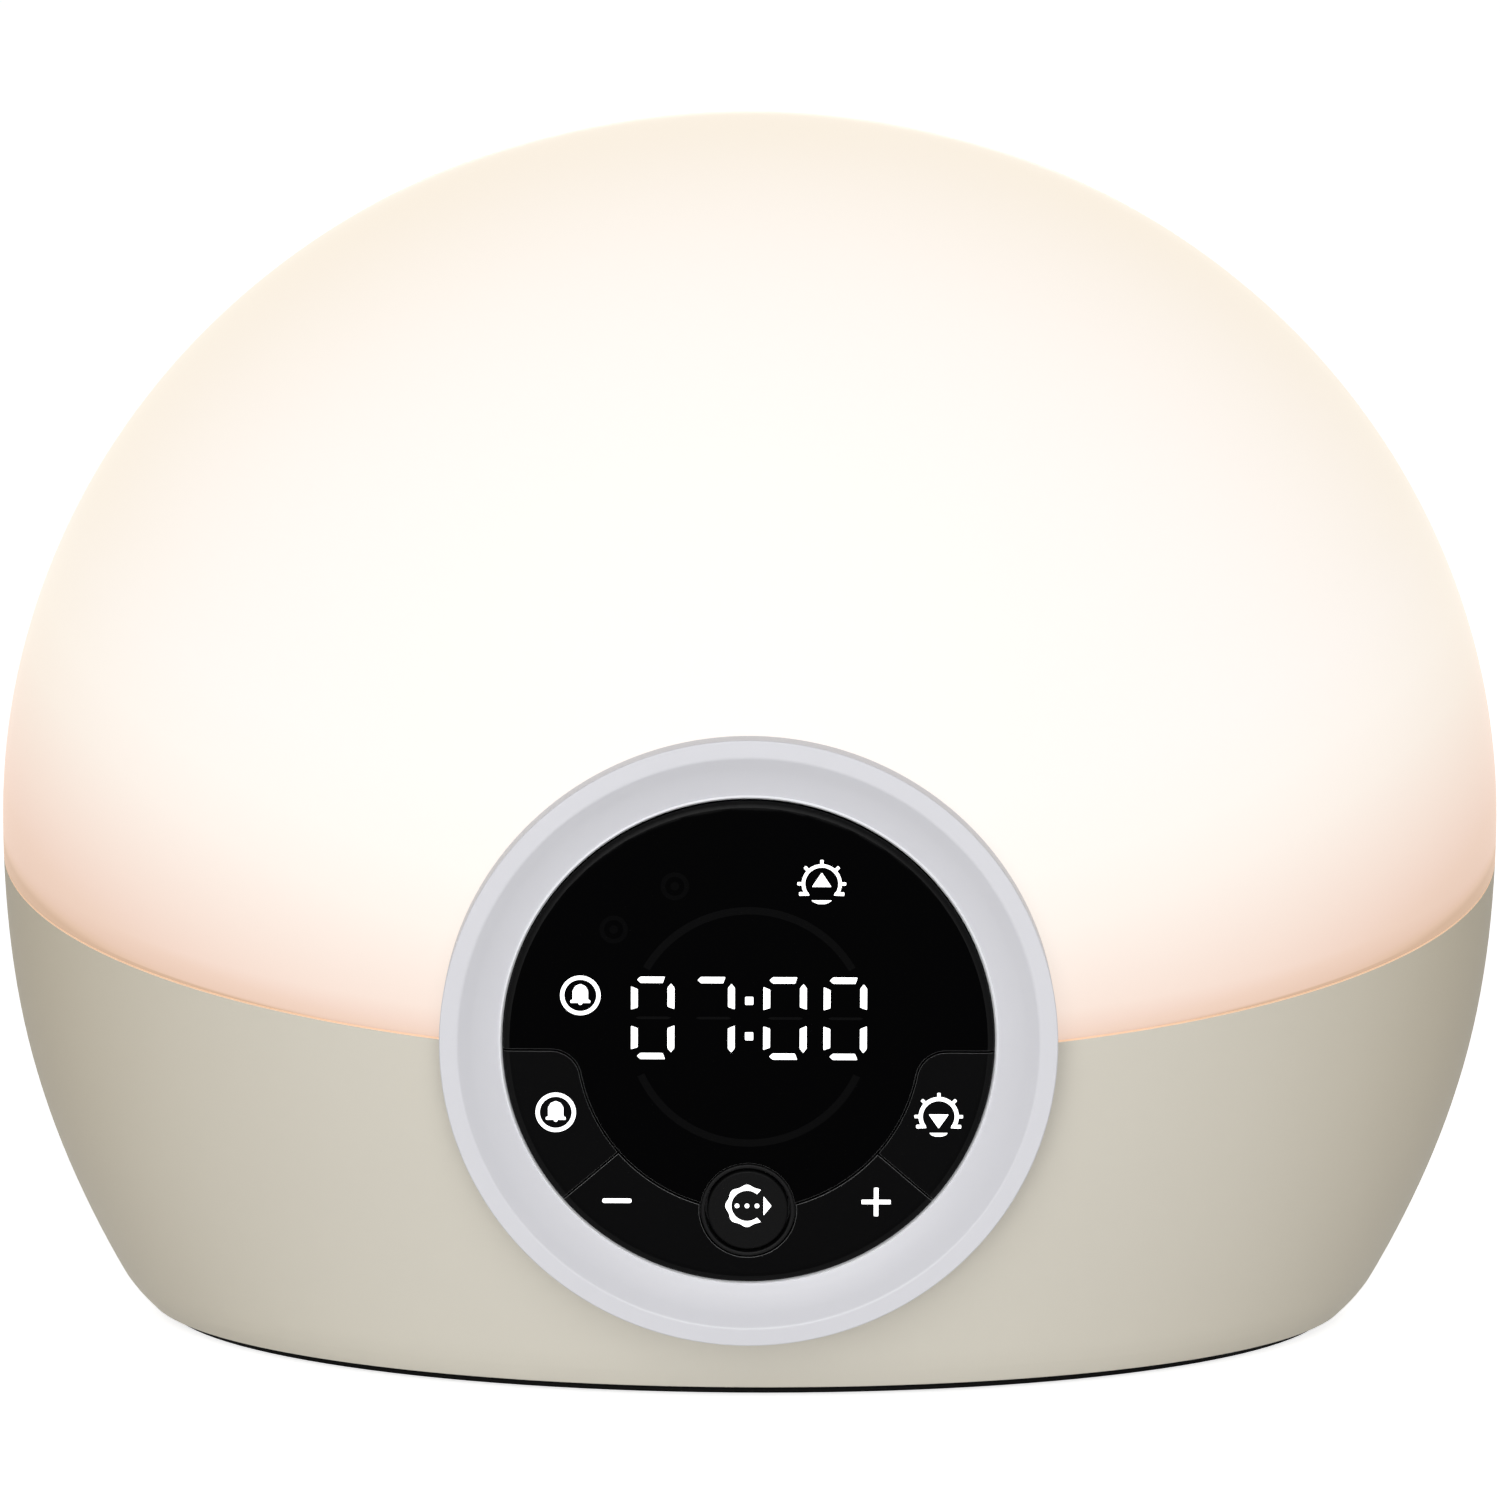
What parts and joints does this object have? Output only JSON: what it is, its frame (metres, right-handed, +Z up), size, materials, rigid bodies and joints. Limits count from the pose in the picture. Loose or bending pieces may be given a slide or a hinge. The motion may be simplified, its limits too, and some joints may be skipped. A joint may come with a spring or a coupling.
{
  "type": "sunrise alarm clock",
  "caption": "Free-standing bedside wake-up lamp and clock: a glowing diffuser dome on a tapered base, with a round digital clock face and push keys let into the front.",
  "frame": {"origin": "on the table under the middle of the body", "axes": "+Z up, +X to the right as seen from the front, -Y out of the clock face towards the user"},
  "size_m": [0.2, 0.122, 0.1624],
  "materials": {
    "diffuser": "translucent milky plastic, lit from inside",
    "base_shell": "matte stone-coloured moulded plastic",
    "dark_base": "matte black moulded plastic",
    "foot_rubber": "matte rubber",
    "screw_steel": "zinc-plated steel",
    "bezel": "satin pale grey moulded plastic",
    "lens": "polished smoked black acrylic",
    "key_black": "satin black moulded plastic",
    "plunger": "moulded nylon",
    "dark_moulding": "matte black moulded plastic",
    "circuit_board": "green solder mask",
    "light_window": "clear and white light guide plastic",
    "lamp_chip": "amber phosphor over white package",
    "white_moulding": "matte white moulded plastic",
    "cable_grey": "grey ribbon insulation",
    "spreader_aluminium": "plain rolled aluminium sheet",
    "lead_red": "red wire insulation"
  },
  "bodies": {
    "housing": {"diffuser_dome": "diffuser", "base_housing": "base_shell", "base_plate": "dark_base", "rubber_feet": "foot_rubber", "base_screws": "screw_steel", "bezel_ring": "bezel", "lens_panel": "lens", "menu_collar": "key_black", "key_frame": "dark_moulding", "control_board": "circuit_board", "tact_switches": "dark_moulding", "display_module": "dark_moulding", "display_segments": "light_window", "icon_light_guides": "light_window", "indicator_leds": "lamp_chip", "pod_cover": "white_moulding", "pod_screws": "screw_steel", "ribbon_cable": "cable_grey", "ribbon_sockets": "white_moulding", "reflector_tray": "white_moulding", "tray_screws": "screw_steel", "heat_spreader": "spreader_aluminium", "lamp_board": "white_moulding", "lamp_chips": "lamp_chip", "lamp_leads": "lead_red", "main_board": "circuit_board", "main_board_parts": "dark_moulding", "power_inlet": "dark_moulding", "inlet_pin": "screw_steel", "speaker_frame": "screw_steel", "speaker_cone": "dark_moulding", "speaker_magnet": "screw_steel", "speaker_leads": "dark_moulding"},
    "alarm_button": {"alarm_key": "key_black", "alarm_plunger": "plunger"},
    "light_button": {"light_key": "key_black", "light_plunger": "plunger"},
    "menu_button": {"menu_key": "key_black", "menu_plunger": "plunger"},
    "minus_plus_button": {"minus_plus_rocker": "key_black", "rocker_plungers": "plunger"}
  },
  "joints": [
    {"name": "alarm_press", "type": "slide", "parent": "housing", "child": "alarm_button", "axis": [0, 1, 0], "range_m": [0, 0.0005], "stiffness_N_per_m": 1500},
    {"name": "light_press", "type": "slide", "parent": "housing", "child": "light_button", "axis": [0, 1, 0], "range_m": [0, 0.0005], "stiffness_N_per_m": 1500},
    {"name": "menu_press", "type": "slide", "parent": "housing", "child": "menu_button", "axis": [0, 1, 0], "range_m": [0, 0.0005], "stiffness_N_per_m": 1500},
    {"name": "minus_plus_rock", "type": "hinge", "parent": "housing", "child": "minus_plus_button", "pos_m": [0, -0.0582, 0.02022], "axis": [0, 0, 1], "range_deg": [-1.2, 1.2], "stiffness_Nm_per_rad": 0.8}
  ]
}
